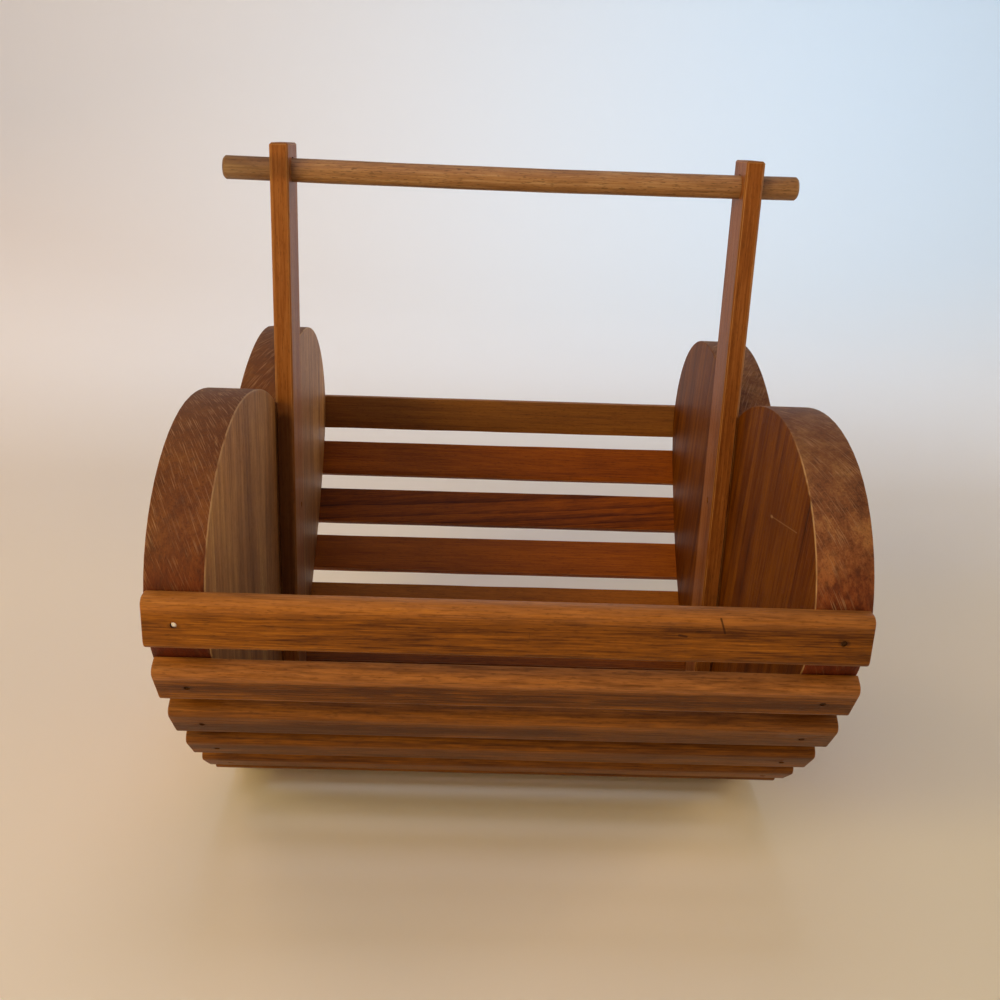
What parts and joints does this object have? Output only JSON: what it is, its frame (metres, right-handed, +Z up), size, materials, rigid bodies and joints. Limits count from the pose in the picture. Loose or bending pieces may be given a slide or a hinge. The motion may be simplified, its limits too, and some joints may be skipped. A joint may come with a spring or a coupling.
{
  "type": "wooden basket",
  "caption": "Slatted wooden basket with heart-shaped end panels, slats nailed round them from rim to rim, and a carrying handle of flat uprights and a round dowel.",
  "frame": {"origin": "on the ground under the middle of the lowest slat, halfway between the two end panels", "axes": "X runs along the slats from the left panel to the right one, Y from front to rear across the heart, Z up towards the handle"},
  "size_m": [0.2339, 0.2832, 0.2693],
  "materials": {
    "panel_wood": "satin stained board",
    "slat_wood": "satin stained slat",
    "handle_wood": "satin stained strip and dowel",
    "nail_steel": "dull bright nail"
  },
  "bodies": {
    "root": {"panel_left": "panel_wood", "panel_right": "panel_wood", "slat_front_1": "slat_wood", "slat_front_2": "slat_wood", "slat_front_3": "slat_wood", "slat_front_4": "slat_wood", "slat_front_5": "slat_wood", "slat_front_6": "slat_wood", "slat_front_7": "slat_wood", "slat_rear_1": "slat_wood", "slat_rear_2": "slat_wood", "slat_rear_3": "slat_wood", "slat_rear_4": "slat_wood", "slat_rear_5": "slat_wood", "slat_rear_6": "slat_wood", "slat_rear_7": "slat_wood", "slat_bottom": "slat_wood", "upright_left": "handle_wood", "upright_right": "handle_wood", "handle_dowel": "handle_wood", "slat_front_1_nail_left": "nail_steel", "slat_front_1_nail_right": "nail_steel", "slat_front_2_nail_left": "nail_steel", "slat_front_2_nail_right": "nail_steel", "slat_front_3_nail_left": "nail_steel", "slat_front_3_nail_right": "nail_steel", "slat_front_4_nail_left": "nail_steel", "slat_front_4_nail_right": "nail_steel", "slat_front_5_nail_left": "nail_steel", "slat_front_5_nail_right": "nail_steel", "slat_front_6_nail_left": "nail_steel", "slat_front_6_nail_right": "nail_steel", "slat_front_7_nail_left": "nail_steel", "slat_front_7_nail_right": "nail_steel", "slat_rear_1_nail_left": "nail_steel", "slat_rear_1_nail_right": "nail_steel", "slat_rear_2_nail_left": "nail_steel", "slat_rear_2_nail_right": "nail_steel", "slat_rear_3_nail_left": "nail_steel", "slat_rear_3_nail_right": "nail_steel", "slat_rear_4_nail_left": "nail_steel", "slat_rear_4_nail_right": "nail_steel", "slat_rear_5_nail_left": "nail_steel", "slat_rear_5_nail_right": "nail_steel", "slat_rear_6_nail_left": "nail_steel", "slat_rear_6_nail_right": "nail_steel", "slat_rear_7_nail_left": "nail_steel", "slat_rear_7_nail_right": "nail_steel", "slat_bottom_nail_left": "nail_steel", "slat_bottom_nail_right": "nail_steel", "upright_left_nail_upper": "nail_steel", "upright_left_nail_lower": "nail_steel", "upright_right_nail_upper": "nail_steel", "upright_right_nail_lower": "nail_steel", "dowel_brad_left": "nail_steel", "dowel_brad_right": "nail_steel"}
  },
  "joints": []
}
